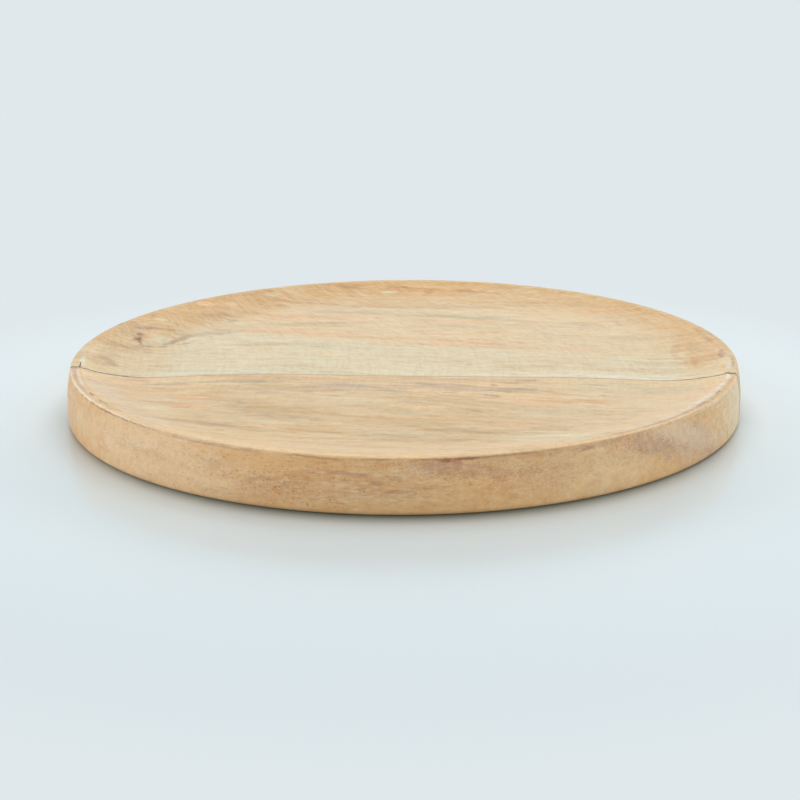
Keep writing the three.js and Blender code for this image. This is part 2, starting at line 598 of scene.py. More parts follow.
# %% [markdown]
# ## Grain
#
# Mango has fine, rather plain grain: long soft bands, short flecks, slow changes of hue, fine
# fibres, and a mottle of warmer, cooler and paler spots. It also has open pores: fine ones, and
# fewer long ones, called dashes here. All of it is noise or cells stretched along X in three
# dimensions, so the wall shows dashes in front and dots at the sides by itself, just as a real
# board does. Flow is the place with Y bent to follow the growth rings.

# %% Helpers for grain
GRAIN_ROUGHNESS = 0.62


def stretched_noise(bench, place, along, across, detail, shift=0.0, colour=False):
    """Noise with so many cells per millimetre along the grain and across it."""
    moved = bench.vector("ADD", place, (shift, shift, shift))
    stretched = bench.vector("MULTIPLY", moved, (along, across, across))
    return bench.noise(stretched, detail, GRAIN_ROUGHNESS, colour=colour)


def pores(bench, place, cells, crowding, widths):
    """A dash in each Voronoi cell, of which 15 to 65 per cent are kept.

    Widths are the distances from a cell's middle where its dash ends and where it is full.
    """
    crowded = stretched_noise(bench, place, *crowding, 2.0)
    share_left_out = bench.rise(crowded, 0.35, 0.62, 0.85, 0.35)
    spread = bench.node("ShaderNodeTexVoronoi", feature="F1")
    bench.feed(spread.inputs["Vector"], bench.vector("MULTIPLY", place, cells))
    spread.inputs["Scale"].default_value = 1.0
    picked = bench.separate(spread.outputs["Color"])[0]
    kept = bench.math("GREATER_THAN", picked, share_left_out)
    return bench.math("MULTIPLY", bench.rise(spread.outputs["Distance"], *widths), kept)


# %% The grain group
GRAIN_NOISES = {  # cells in each mm along and across the grain, detail, and a shift
    "Bands": (0.012, 0.10, 3.0, 0.0),
    "Flecks": (0.085, 0.38, 3.0, 310.0),
    "Hue": (0.03, 0.18, 3.0, 620.0),
    "Fibre": (0.24, 1.3, 1.0, 0.0),
}
MOTTLE = (0.22, 0.42, 2.0, 930.0)
GRAIN_PORES = {  # cells in each mm along X, Y and Z, their crowding, and their widths
    "Pores": ((0.42, 1.25, 1.25), (0.02, 0.06), (0.26, 0.10)),
    "Dashes": ((0.12, 0.5, 0.5), (0.012, 0.04), (0.26, 0.08)),
}
GRAIN_MEASURES = (*GRAIN_NOISES, *GRAIN_PORES)

bench, taken, given = new_group(
    "mango_grain",
    [("Flow", "Vector")],
    [("Mottle", "Color")] + [(label, "Float") for label in GRAIN_MEASURES],
)
flow = taken["Flow"]
for label, values in GRAIN_NOISES.items():
    bench.feed(given[label], stretched_noise(bench, flow, *values))
for label, values in GRAIN_PORES.items():
    bench.feed(given[label], pores(bench, flow, *values))
bench.feed(given["Mottle"], stretched_noise(bench, flow, *MOTTLE, colour=True))
MANGO_GRAIN = bench.tree
print("group", MANGO_GRAIN.name)

# %% [markdown]
# ## Ripple
#
# The gouge and the sander leave a faint ripple across the grain. In the dish it runs in shallow
# arcs, as a sanding disc leaves them when it is moved along the boards, and it fades towards the
# front. On the wall it stands upright. It shows as fine paler and darker lines.

# %% The ripple group
ARC_BEND = 0.0025  # how far an arc bows, for each square millimetre
ARC_CELLS = (0.55, 0.05)  # in each mm, across the arcs and along them
UPRIGHT_CELLS = (0.62, 0.07, 1.0)  # in each mm, round the wall and up it
FRONT_FADE = (-20.0, -90.0, 1.0, 0.45)  # from Y to Y, and the strength at each
WALL_STRENGTH = 0.5

bench, taken, given = new_group(
    "tool_ripple",
    [("Place", "Vector"), ("Rolled out", "Vector"), ("On wall", "Float")],
    [("Ripple", "Float")],
)
x, y = bench.separate(taken["Place"])[:2]
from_joint = bench.math("SUBTRACT", y, JOINT_Y / MM)
bow = bench.math("MULTIPLY", bench.math("MULTIPLY", from_joint, from_joint), ARC_BEND)
across = bench.math("MULTIPLY", bench.math("ADD", x, bow), ARC_CELLS[0])
in_dish = bench.combine(across, bench.math("MULTIPLY", y, ARC_CELLS[1]), 0.0)
upright = bench.vector("MULTIPLY", taken["Rolled out"], UPRIGHT_CELLS)
coordinates = bench.mix(taken["On wall"], in_dish, upright)
ripple = bench.math("SUBTRACT", bench.noise(coordinates, 3.0, 0.6), 0.5)
dish_strength = bench.rise(y, *FRONT_FADE)
strength = bench.rise(taken["On wall"], 0.0, 1.0, dish_strength, WALL_STRENGTH)
bench.feed(given["Ripple"], bench.math("ADD", bench.math("MULTIPLY", ripple, strength), 0.5))
TOOL_RIPPLE = bench.tree
print("group", TOOL_RIPPLE.name)

# %% [markdown]
# ## The joint's stain
#
# Glue soaked into both edges and picked up dust before the tray was oiled, so the line shows
# wider than the film. It is darkest near both ends, where the boards had opened a little. Its
# width wanders with a soft noise.

# %% The stain group
LEFT_END = (-108.0, -121.0)  # from X to X, in mm, the joint gets darker and wider
RIGHT_END = (104.0, 130.0)
STAIN_WIDTH = 1.4
STAIN_WIDTH_AT_ENDS = 0.7  # added to that
STAIN_DARKNESS = 0.3
STAIN_DARKNESS_AT_ENDS = 0.7
WANDER_CELLS = (0.3, 0.3, 0.3)

bench, taken, given = new_group("joint_stain", [("Place", "Vector")], [("Mask", "Float")])
x, y = bench.separate(taken["Place"])[:2]
wander = bench.noise(bench.vector("MULTIPLY", taken["Place"], WANDER_CELLS))
from_joint = bench.math("ABSOLUTE", bench.math("SUBTRACT", y, JOINT_Y / MM))
at_end = bench.math("MAXIMUM", bench.rise(x, *LEFT_END), bench.rise(x, *RIGHT_END))
widened = bench.math("ADD", STAIN_WIDTH, bench.math("MULTIPLY", at_end, STAIN_WIDTH_AT_ENDS))
width = bench.math("MULTIPLY", wander, widened)
line = bench.rise(from_joint, width, bench.math("MULTIPLY", width, 0.3))
extra = bench.math("MULTIPLY", at_end, STAIN_DARKNESS_AT_ENDS)
darkness = bench.math("ADD", STAIN_DARKNESS, extra)
bench.feed(given["Mask"], bench.math("MULTIPLY", line, darkness))
JOINT_STAIN = bench.tree
print("group", JOINT_STAIN.name)

# %% [markdown]
# ## Glue and filler
#
# Dried wood glue is a hard brown skin, a little glossy. Filler is sawdust and binder: darker,
# matt and grainy. Both are one speckle of two colours, wide and soft for the glue and fine for
# the filler, and the same speckle roughens the surface a little.

# %% Helpers for finishes
def new_finish(name):
    """A new material, a bench on its tree, and its shader."""
    material = bpy.data.materials.new(name)
    material.use_nodes = True
    return material, Bench(material.node_tree), material.node_tree.nodes["Principled BSDF"]


def add_relief(bench, shader, height, strength, depth):
    """A fine bump, depth high where height is 1."""
    bump = bench.node("ShaderNodeBump")
    bump.inputs["Strength"].default_value = strength
    bump.inputs["Distance"].default_value = depth
    bench.feed(bump.inputs["Height"], height)
    bench.feed(shader.inputs["Normal"], bump.outputs["Normal"])


def dress(piece, material):
    """Make material the only one on piece."""
    piece.data.materials.clear()
    piece.data.materials.append(material)


# %% Speckled finish for glue and filler
def speckled(name, dark, light, cells_per_mm, roughness):
    """Two colours in fine speckles, the paler ones a little smoother."""
    material, bench, shader = new_finish(name)
    place = bench.group(PLACE_ON_TRAY)["Place"]
    spread = (cells_per_mm, cells_per_mm, cells_per_mm)
    speckle = bench.noise(bench.vector("MULTIPLY", place, spread), 3.0, 0.6)
    colour = bench.mix(bench.rise(speckle, 0.35, 0.65), dark, light)
    bench.feed(shader.inputs["Base Color"], colour)
    roughness_here = bench.rise(speckle, 0.3, 0.7, roughness, roughness - 0.1)
    bench.feed(shader.inputs["Roughness"], roughness_here)
    add_relief(bench, shader, speckle, 0.4, 0.04 * MM)
    return material


dress(glue_film, speckled("dried_glue", srgb(104, 76, 50), srgb(136, 104, 72), 0.8, 0.5))
dress(filler, speckled("dark_filler", srgb(52, 38, 32), srgb(86, 64, 50), 2.0, 0.85))
print("glue and filler are dressed")

# %% [markdown]
# ## The colours in the wood
#
# Every colour has a plain name and is written as it looks in a plain light. The rows that follow
# say where each one lies, as a maker would point at the boards: the tone, its strength, its middle
# in millimetres, its half length and half width, and its turn from X in degrees. A patch that is
# bent has its bend as well.

# %% Tones of the two boards
TONES = {
    "cream": srgb(230, 219, 186),
    "sapwood": srgb(226, 210, 175),
    "pale_green": srgb(220, 205, 168),
    "pale": srgb(226, 206, 170),
    "straw": srgb(240, 202, 152),
    # painted highlight: a tone for the light that the rim's flat and edge catch
    "painted_highlight": srgb(247, 216, 168),
    "chalk": srgb(242, 234, 220),
    "mist": srgb(228, 226, 206),
    "blush": srgb(232, 210, 180),
    # lavender is used only for painted sheen on the front cove
    "cove_sheen_lavender": srgb(222, 204, 184),
    "amber": srgb(230, 178, 108),
    "copper": srgb(214, 180, 146),
    "dusk": srgb(204, 168, 144),
    "tan": srgb(221, 196, 156),
    "peach": srgb(232, 190, 144),
    "pink": srgb(230, 200, 163),
    "orange": srgb(215, 174, 120),
    "rust": srgb(204, 152, 100),
    "ochre": srgb(220, 188, 142),
    "brown": srgb(204, 172, 126),
    "bark": srgb(176, 156, 120),
    "grey_brown": srgb(198, 177, 142),
    "grey_green": srgb(205, 189, 154),
    "mauve": srgb(202, 174, 146),
    "slate": srgb(168, 151, 130),
    "plum": srgb(166, 126, 104),
    "wine": srgb(140, 84, 60),
    "cool": srgb(213, 203, 213),
}
print(len(TONES), "tones")

# %% [markdown]
# ## The rear board's figure
#
# From the joint to the rear rim lie pale sapwood, peach and brown bands, a grey green layer, and
# warm wood. At the left is a knot with a dark stain and a grey tail. Broad patches come first, and
# small marks lie over them. Painting a picture of the boards would be quicker, but it would show
# one side only. Patches in millimetres run on over the rim and down the wall.

# %% Broad figure of the rear board
REAR_FIGURE = [
    ("tan", 0.6, 0, 106, 70, 17, -4),
    ("orange", 0.4, -2, 109, 50, 8, -6),
    ("brown", 0.35, 4, 110, 50, 10, -4),
    ("amber", 0.85, 4, 138, 66, 9, 0, 0.6),
    ("rust", 0.5, 14, 131, 36, 6, -9),
    ("rust", 0.3, 32, 134.5, 18, 4, -10),
    ("brown", 0.6, -60, 122, 40, 10, 26),
    ("pale_green", 0.7, 56, 120, 16, 9, -12),
    ("grey_green", 0.6, -8, 89, 58, 7, -7),
    ("grey_green", 0.4, 34, 84, 22, 8, -10),
    ("peach", 0.5, 12, 73, 40, 4.5, -3),
    ("peach", 0.9, -44, 80, 44, 8, -6),
    ("brown", 0.55, -36, 79, 20, 4.5, -6),
    ("cream", 0.5, -4, 67, 12, 3.5, -5),
    ("brown", 0.6, -52, 65, 32, 4.5, 8, 0.3),
    ("slate", 0.2, -43, 68.5, 14, 1.6, 2),
    ("brown", 0.3, -34, 62, 9, 3, 10),
    ("grey_green", 0.4, 28, 60, 20, 3, -4),
    ("peach", 0.55, 28, 53, 24, 4, -4),
    ("peach", 0.8, -62, 51, 27, 9, -12),
    ("peach", 0.6, -34, 43, 26, 7, -18),
    ("orange", 0.5, -23, 38, 10, 3.2, -10),
    ("peach", 0.45, 26, 38, 36, 7, -6),
    ("peach", 0.85, 22, 27.5, 34, 7, -8),
    ("amber", 0.25, 28, 26.5, 18, 4.5, -8),
    ("pink", 0.6, 76, 20, 30, 5, -3),
    ("peach", 0.5, 80, 20.5, 11, 4, 0),
    ("pale", 0.4, 84, 48, 34, 22, 0),
    ("brown", 0.45, 86, 72, 11, 5, -28),
    ("peach", 0.5, 92, 94, 16, 5, -8),
    ("brown", 0.6, -92, 98, 42, 17, 46),
    ("rust", 0.45, -106, 82, 18, 10, 30),
    ("grey_green", 0.35, -84, 61, 22, 7, 10),
]
REAR_SAPWOOD_FIGURE = [
    ("grey_green", 0.4, -55, 27, 46, 2.6, -2),
    ("tan", 0.5, 28, -5, 40, 3.4, -2),
    ("tan", 0.85, 78, -11, 62, 3.6, -2),
    ("grey_green", 0.5, 52, -9, 28, 1.8, 0),
    ("tan", 0.35, -55, 0, 46, 2.5, 0),
    ("straw", 0.4, -39, 10, 9, 3.5, 0),
    ("peach", 0.4, -66, 17, 13, 2.6, 0),
    ("cream", 0.5, -86, 22, 8, 3, 0),
    ("cream", 0.6, -70, -4, 14, 4, 0),
    ("cream", 0.8, -50, -20, 86, 5, 0),
    ("cream", 1.0, 84, -22.5, 54, 7, 0),
    ("chalk", 0.55, 76, -23.4, 54, 2.8, 0),
    ("mist", 0.45, -74, -22.5, 52, 3, 0),
    ("cream", 0.6, -98, 4, 12, 5, 0),
    ("tan", 0.45, 60, 2, 36, 11, 0),
    ("cream", 0.8, 4, -23, 8, 4, 0),
    ("cream", 0.5, 100, 8, 12, 4, 0),
]
REAR_END_FIGURE = [
    ("brown", 0.5, -135, 2, 26, 7, 92),
    ("plum", 0.4, -133, -7, 8, 2.4, -52),
    ("orange", 0.6, 132, 16, 28, 8, 92),
    ("rust", 0.45, 123.5, 22, 14, 2.6, 84),
    ("brown", 0.5, 131.5, 26, 8, 2.6, 84),
    ("rust", 0.35, 130.5, 6, 9, 1.6, 90),
    ("plum", 0.55, 138.5, 34, 7, 1.7, 106),
    ("plum", 0.65, 142.3, 8, 6, 1.6, 93),
    ("rust", 0.5, 141.5, -12, 4, 1.4, 86),
]

# %% The knot, and the small marks of the rear board
KNOT_FIGURE = [
    ("brown", 0.7, -131, 44, 18, 8, 72),
    ("copper", 0.6, -127, 47, 5, 4.5, 0),
    ("pale_green", 0.9, -117.5, 36, 9.5, 6, 80),
    ("straw", 0.5, -122, 41, 4, 2.4, 60),
    ("wine", 0.7, -128, 31.5, 4.2, 3, 80),
    ("wine", 0.85, -126, 33.5, 10, 1.6, -75, 0.2),
    ("wine", 0.5, -128, 40, 4, 2, 70),
    ("slate", 1.0, -121.5, 23.4, 5.6, 3, 0),
    ("slate", 0.9, -114.5, 24, 5, 2, 20),
    ("slate", 0.5, -105.5, 29.5, 6, 1.9, 32),
    ("bark", 0.95, -112, 29.5, 7.5, 2.4, 58),
    ("bark", 0.85, -106.5, 39.5, 9, 3, 62),
    ("slate", 0.5, -104, 44, 3.6, 2.4, 30),
    ("grey_brown", 0.75, -95, 49, 17, 5.5, 12),
    ("plum", 0.75, -126, 50.5, 6, 2.2, 20),
    ("slate", 0.75, -116, 52.5, 8, 1.8, 6),
    ("straw", 0.8, -127.5, 55.5, 2.6, 2, 0),
    ("cream", 0.7, -122, 65, 3.2, 2, 0),
    ("mauve", 0.6, -128, 17, 4, 5, 90),
    ("brown", 0.5, -119.5, 15, 4, 3, 90),
    ("cream", 0.6, -117, 5, 6, 3, 80),
]
REAR_SPOTS = [
    ("plum", 0.32, -97, 82, 7, 4, 10),
    ("slate", 0.52, -88, 74, 3.6, 3, 80),
    ("plum", 0.28, -90, 82, 5, 1.5, 100),
    ("rust", 0.42, -78, 107, 5, 2, -55),
    ("plum", 0.32, -67, 104, 3.4, 2, 0),
    ("straw", 0.8, -104, 95, 6, 2.5, 20),
    ("straw", 0.6, -92, 100, 4, 3, 60),
    ("pale_green", 0.8, -73, 118, 5, 2.5, 20),
    ("rust", 0.49, -65, 121, 5, 2, -20),
    ("rust", 0.35, -70, 111, 6, 3, 10),
    ("plum", 0.21, -52, 114, 4, 3, 80),
    ("mauve", 0.42, -42, 108, 8, 2, 0),
    ("mauve", 0.35, -32, 102, 5, 3, 0),
    ("plum", 0.24, -34, 124, 2, 2, 0),
    ("wine", 0.24, -35, 134.5, 7, 2.2, 0),
    ("wine", 0.32, -13, 138, 8, 2.4, 0),
    ("wine", 0.21, -3, 136, 7, 2, -10),
    ("cream", 0.8, -15, 131, 4, 1.6, 10),
    ("wine", 0.21, 5, 130, 6, 3, 80),
    ("plum", 0.35, 27, 128, 3.5, 2, 0),
    ("wine", 0.21, 26, 133, 11, 1.8, -14),
    ("rust", 0.49, 36, 128, 13, 2.4, -18),
    ("slate", 0.24, 28, 122, 2, 1.5, 0),
    ("rust", 0.42, 58, 113, 14, 1.6, -14),
    ("brown", 0.6, 80, 107, 5, 4.5, 0),
    ("brown", 0.6, 99, 74, 6, 1.8, -62),
    ("plum", 0.21, 76, 75, 4, 3, 0),
    ("mauve", 0.42, 83, 68, 5, 3.5, 0),
    ("brown", 0.6, 59.5, 58, 2.4, 2.2, 0),
    ("chalk", 0.5, 47, 72.5, 3, 2.5, 0),
    ("cream", 0.5, 88, 54, 4, 3, 80),
    ("rust", 0.35, 40, 30.5, 1.8, 1.4, 0),
    ("rust", 0.28, 53.5, 31.5, 2.6, 1.5, 0),
    ("mauve", 0.49, 40, 38.2, 15, 1, 0),
    ("mauve", 0.42, 42, 21.5, 9, 0.9, 0),
    ("mauve", 0.49, 69, 39.5, 8, 1.1, -50),
    ("rust", 0.42, 114, 10.4, 8, 0.9, 0),
    ("brown", 0.4, 29, -9, 3, 1.5, 0),
    ("slate", 0.21, 56, -9.5, 4, 1.3, 0),
    ("straw", 0.6, -72.5, -15.5, 2.6, 1.3, 0),
]
print(len(KNOT_FIGURE), "marks make the knot")

# %% [markdown]
# ## The front board's figure
#
# The front board is tan. Painted pinkish sheen lies along the front of its cove and at both ends
# of it. Grey brown streaks lie near the joint, and short grey and plum dashes are scattered along
# the grain, as minerals leave them in mango.

# %% Figure of the front board
FRONT_FIGURE = [
    ("ochre", 0.85, -12, -80, 104, 30, -4),
    ("pale", 0.5, 96, -72, 42, 34, 0),
    ("pale_green", 0.7, 96, -37, 34, 9, -4),
    ("tan", 0.5, -40, -66, 66, 24, 0),
    ("peach", 0.5, -66, -29.5, 44, 3, 0),
    ("brown", 0.5, 4, -33, 92, 5, 0),
    ("copper", 0.5, -118, -31, 10, 3.4, 0),
    ("grey_brown", 0.7, -78, -37.5, 36, 2.6, 0),
    ("mauve", 0.7, -20, -42, 26, 6, -6),
    ("mauve", 0.7, 20, -43, 30, 5, -8),
    ("brown", 0.4, -66, -45, 28, 4, 0),
    ("blush", 0.6, -103, -60, 9, 5, 0),
    ("peach", 0.9, -84, -58, 12, 4.5, -4),
    ("peach", 1.0, -84, -70, 16, 4, 0),
    ("cream", 0.6, -100, -76, 12, 5, -8),
    ("cream", 0.4, -92, -84, 8, 3, 0),
    ("pale_green", 0.6, -18, -65, 16, 5, -6),
    ("pale_green", 0.4, 62, -76, 20, 6, -4),
    ("ochre", 0.45, 90, -81, 18, 8, -4),
    ("brown", 0.5, -56, -72, 26, 7, -32),
    ("brown", 0.55, -48, -83, 30, 6, -24),
    ("pale_green", 0.6, -52, -90.5, 34, 2.6, -20),
    ("orange", 0.45, -38, -77, 26, 4, -22),
    ("orange", 0.4, 16, -88, 30, 3.6, -4),
    ("straw", 0.5, -50, -97.5, 14, 3.4, -6),
    ("brown", 0.6, -74, -97, 22, 6, -6),
    ("orange", 0.5, -30, -101, 26, 3.4, -12),
    ("pale_green", 0.7, 2, -105, 28, 2.8, -6),
    ("brown", 0.6, 14, -96, 26, 4, -6),
    ("brown", 0.55, 22, -62, 30, 6, -6),
    ("brown", 0.5, 26, -79, 22, 6, -4),
    ("ochre", 0.7, -2, -115, 52, 5, -3),
    ("brown", 0.45, 8, -116, 34, 3.4, -3),
    ("peach", 0.7, 50, -95, 11, 3.6, 0),
    ("brown", 0.7, 40, -101, 30, 4.5, -5),
    ("brown", 0.6, 64, -99, 12, 5, 0),
    ("peach", 0.8, 72, -60, 24, 3.4, -4),
    ("amber", 0.2, 70, -61.5, 16, 4, -4),
    ("brown", 0.4, 0, -78, 14, 3.6, -4),
    ("rust", 0.3, 74, -61, 18, 3, -4),
    ("cream", 1.0, 64, -112, 20, 6, 0),
    ("straw", 0.4, 60, -112, 14, 4, 0),
    ("peach", 0.6, 58, -65, 14, 3.4, 0),
    ("straw", 0.7, 13, -72, 8, 2.6, 0),
    ("grey_green", 0.4, 8, -79, 9, 3.6, 0),
    # painted sheen: this row and the next three lie along the front cove and stand in for its
    # grazing reflection
    ("pink", 0.5, 0, -131, 90, 9, 0, -0.9),
    ("cove_sheen_lavender", 0.5, -122, -60, 26, 6, -62),
    ("cove_sheen_lavender", 0.5, -96, -100, 20, 6, -42),
    ("pink", 0.5, 112, -80, 40, 14, 60),
]

# %% Streaks and small marks of the front board
FRONT_SPOTS = [
    ("slate", 0.35, -110, -35, 3.4, 1.4, 95),
    ("slate", 0.32, -100, -38.7, 8, 1.3, 0),
    ("slate", 0.28, -84, -37, 6, 1.5, 0),
    ("slate", 0.59, -69, -37.5, 4.6, 1.9, -10),
    ("slate", 0.59, -61, -37.5, 4.2, 1.9, -10),
    ("slate", 0.28, -47, -36, 7, 1.5, 4),
    ("slate", 0.32, -20, -42, 10, 3, -10),
    ("slate", 0.56, -6, -48.3, 5.4, 1.7, 0),
    ("plum", 0.28, -26, -49.5, 6, 1.3, 0),
    ("slate", 0.42, 2, -49, 4, 3.2, 0),
    ("slate", 0.32, -54, -53.5, 8, 2, -5),
    ("slate", 0.35, -38, -53, 3, 1.7, 0),
    ("slate", 0.28, -27, -58, 3, 1.6, 0),
    ("plum", 0.35, -84, -56.5, 5, 1.3, -8),
    ("plum", 0.28, -98, -67, 11, 1.9, 0),
    ("rust", 0.35, -90, -73, 6, 1.4, 0),
    ("slate", 0.35, -66, -66, 4, 1.3, -50),
    ("slate", 0.32, -62, -78, 4.4, 2, -45),
    ("slate", 0.35, -52, -84, 5.4, 2.2, -38),
    ("slate", 0.35, -42, -86, 5.4, 2.2, -20),
    ("plum", 0.39, -32, -90.5, 3, 2, 0),
    ("plum", 0.28, -14, -96, 12, 1.3, -12),
    ("plum", 0.28, -70, -98, 10, 2, -4),
    ("plum", 0.28, -26, -105.5, 6, 1.9, -10),
    ("slate", 0.28, -6, -108.5, 6, 1.7, -5),
    ("plum", 0.24, -68, -106, 3, 2, 80),
    ("plum", 0.24, -35, -114, 2.4, 2, 90),
    ("plum", 0.35, 13, -39, 8, 1.3, -24),
    ("slate", 0.32, 32, -42, 14, 1.8, -6),
    ("slate", 0.59, 51, -44.6, 7, 1.9, 0),
    ("slate", 0.42, 44, -47.5, 6, 1.5, -10),
    ("slate", 0.24, 70, -50, 18, 1.5, -14),
    ("plum", 0.42, 87, -52, 1.9, 1.1, 0),
    ("slate", 0.59, 23, -51, 4.6, 1.6, -8),
    ("slate", 0.35, 32, -52.5, 6, 1.4, -8),
    ("slate", 0.59, 40, -55, 4.2, 1.8, -20),
    ("slate", 0.52, 56, -32, 6, 1.7, 6),
    ("plum", 0.42, 49, -35.5, 6, 1.4, 4),
    ("plum", 0.42, 41.5, -40, 1.6, 2, 0),
    ("slate", 0.45, 72, -63.3, 5, 1.3, -4),
    ("slate", 0.28, 81, -65.5, 6, 2, -10),
    ("plum", 0.35, 35, -76, 5, 1.5, -28),
    ("plum", 0.28, 7, -97.5, 9, 1.3, -8),
    ("plum", 0.35, 34, -98, 3, 1.9, 0),
    ("slate", 0.28, 36, -102.5, 8, 1.9, -4),
    ("plum", 0.24, 70, -100, 3, 3, 0),
    ("plum", 0.24, 5, -111, 8, 1.5, -4),
    ("plum", 0.24, 28, -113, 6, 1.9, 0),
    ("plum", 0.42, 78.5, -29.6, 2.1, 1.3, 0),
    ("plum", 0.24, 85, -37, 4, 1.7, 0),
    ("plum", 0.28, 36, -137, 6, 2, 0),
]
print(len(FRONT_FIGURE), "patches and", len(FRONT_SPOTS), "small marks on the front board")

# %% [markdown]
# ## Marks on the rim and the wall
#
# The rim has dark lines and dashes, pale worn places, and painted highlights along its flat and
# its outer rounding, which stand in for the light it catches. Its marks lie in a map of their own,
# with the length round the edge from the front as one measure and the way from the axis outwards
# and over the edge as the other.
# The wall's marks use the wall rolled out flat: the length round it, and the height. It has soft
# stains, a painted sheen at its right end, places where the colour is broken into crumbs, and
# places with rows of small pits: dark dots, and dark and pale dashes. Each kind is laid as a patch
# that a finer pattern tears apart.

# %% Marks of the rim
# painted highlight: the rows of the highlight tone, the chalk row at 147.8 and the mist row at
# 149.9 stand in for light that the rim catches
FRONT_RIM_MARKS = [
    ("straw", 0.9, -20, 145.2, 105, 2.6, 0),
    ("painted_highlight", 0.5, -60, 145.2, 60, 1.6, 0),
    ("copper", 0.8, -182, 146.4, 42, 1.3, 0),
    ("blush", 0.9, 136, 144.3, 72, 2.0, 0),
    ("dusk", 0.85, 158, 147.1, 66, 0.9, 0),
    ("copper", 0.8, 190, 147.0, 26, 0.8, 0),
    ("wine", 0.45, 60, 143.1, 110, 0.45, 0),
    ("chalk", 0.6, -190, 144.9, 18, 0.9, 0),
    ("wine", 0.7, -162, 145.0, 4, 0.5, 0),
    ("wine", 0.7, -150, 144.9, 3, 0.5, 0),
    ("slate", 0.7, -144, 144.9, 3, 0.5, 0),
    ("chalk", 0.6, 162, 144.3, 14, 0.8, 0),
    ("chalk", 0.7, 186, 144.5, 9, 0.8, 0),
    ("chalk", 1.0, 203, 145.0, 4, 1.5, 0),
    ("plum", 0.7, 176, 146.3, 3.5, 0.7, 0),
    ("plum", 0.7, 156, 146.4, 4.5, 0.7, 0),
    ("plum", 0.5, 142, 146.8, 4, 0.6, 0),
    # painted highlight: a chalk-white line along the outer rounding
    ("chalk", 0.8, -152, 147.8, 56, 0.6, 0),
    ("painted_highlight", 0.8, -10, 147.6, 90, 0.8, 0),
    ("dusk", 0.6, -92, 148.7, 60, 0.8, 0),
    ("dusk", 0.6, -206, 146.4, 16, 1.6, 0),
    ("dusk", 0.4, -206, 150.6, 12, 2.6, 0),
    ("painted_highlight", 0.7, -140, 147.2, 20, 0.8, 0),
    ("painted_highlight", 0.6, 120, 148.3, 50, 0.6, 0),
    ("amber", 0.7, 186, 148.1, 52, 0.45, 0),
    ("painted_highlight", 0.7, 190, 148.9, 44, 0.6, 0),
    # painted sheen: a pale line where the rounding meets the wall at the right end
    ("mist", 0.45, 180, 149.9, 40, 0.7, 0),
    ("wine", 0.55, -135, 149.0, 36, 0.45, 0),
    ("plum", 0.4, -71, 149.6, 26, 0.6, 0),
    ("wine", 0.4, -26, 149.8, 12, 0.6, 2),
    ("wine", 0.35, -4, 149.6, 10, 0.7, -2),
    ("painted_highlight", 0.6, 44, 148.2, 60, 0.6, 0),
    ("painted_highlight", 0.8, 5, 148.4, 16, 0.8, 0),
    ("wine", 0.42, 38, 149.8, 32, 0.5, 0),
    ("wine", 0.8, 25, 150.4, 3.5, 1.2, 0),
    ("wine", 0.55, 33, 150.0, 5, 0.7, 0),
    ("plum", 0.7, 84, 151.4, 3.5, 0.9, 30),
    ("wine", 1.0, 207.4, 145.6, 1.1, 3.4, 0),
]
REAR_RIM_MARKS = [
    ("mist", 0.9, -219, 143.5, 10, 1.3, 0),
    ("mist", 0.6, 222, 144.4, 11, 1.2, 0),
    ("plum", 0.5, 228, 146.5, 8, 0.8, 0),
    ("wine", 0.9, -288, 147.4, 2.6, 0.6, 0),
    ("amber", 0.6, 230, 148.0, 30, 0.5, 0),
    ("wine", 1.0, 208.4, 145.6, 1.1, 3.4, 0),
]
print(len(FRONT_RIM_MARKS) + len(REAR_RIM_MARKS), "marks on the rim")

# %% Marks of the wall
WALL_MARKS = [
    ("mauve", 0.35, -204, 14, 46, 15, 0),
    # painted sheen: the pale patch at the wall's right end stands in for its grazing reflection
    ("cream", 0.7, 215, 12, 46, 18, 0),
    ("blush", 0.4, -108, 12, 52, 15, 0),
    ("tan", 0.5, 92, 12, 24, 14, 0),
    ("plum", 0.4, 76, 22.2, 56, 2.4, 0),
    ("brown", 0.5, 70, 17, 60, 5, -4),
    ("rust", 0.15, -48, 9, 40, 6, 8),
    ("rust", 0.2, 0, 15, 34, 7, 0),
    ("plum", 0.3, 112, 17.5, 15, 3.0, -14),
    ("plum", 0.3, 134, 17, 20, 2.6, 8),
    ("plum", 0.3, 150, 12, 16, 2.6, -34),
    ("mauve", 0.5, 138, 12, 34, 8, -20),
    ("rust", 0.5, 30, 19.0, 22, 3.4, -9),
    ("plum", 0.35, 26, 20.5, 9, 2, 0),
    ("rust", 0.35, 46, 12, 8, 5, -60),
    ("plum", 0.3, -48, 12, 8, 1.1, 8),
    ("plum", 0.4, -14, 17, 9, 1.2, -4),
    ("plum", 0.35, 12, 11, 9, 1.3, 6),
    ("plum", 0.7, 84, 21.3, 3, 1.2, 20),
]
WALL_SPECKS = [
    ("plum", 0.4, 124, 15.5, 30, 6, -12),
    ("plum", 0.35, 154, 9, 22, 6, -30),
    ("blush", 0.5, 142, 14.5, 30, 5, -20),
    ("plum", 0.4, 28, 18.5, 24, 3.6, -6),
    ("plum", 0.3, 62, 13, 18, 5, 0),
    ("plum", 0.25, -92, 10.5, 32, 3.6, -8),
    ("plum", 0.2, -56, 8, 28, 6, 0),
    ("plum", 0.18, -14, 12, 40, 9, 0),
    ("straw", 0.4, -78, 8.5, 24, 3, -4),
    ("blush", 0.5, 205, 13, 24, 10, 0),
]
WALL_DOTS = [
    ("wine", 0.38, -53, 13, 19, 3.6, -4),
    ("wine", 0.24, -20, 8.5, 20, 5, 0),
]
WALL_DASHES = [
    ("plum", 0.38, -6, 10.5, 13, 3, 0),
]
WALL_PALE_DASHES = [
    ("pale_green", 0.36, -8, 11.5, 13, 3, 0),
]
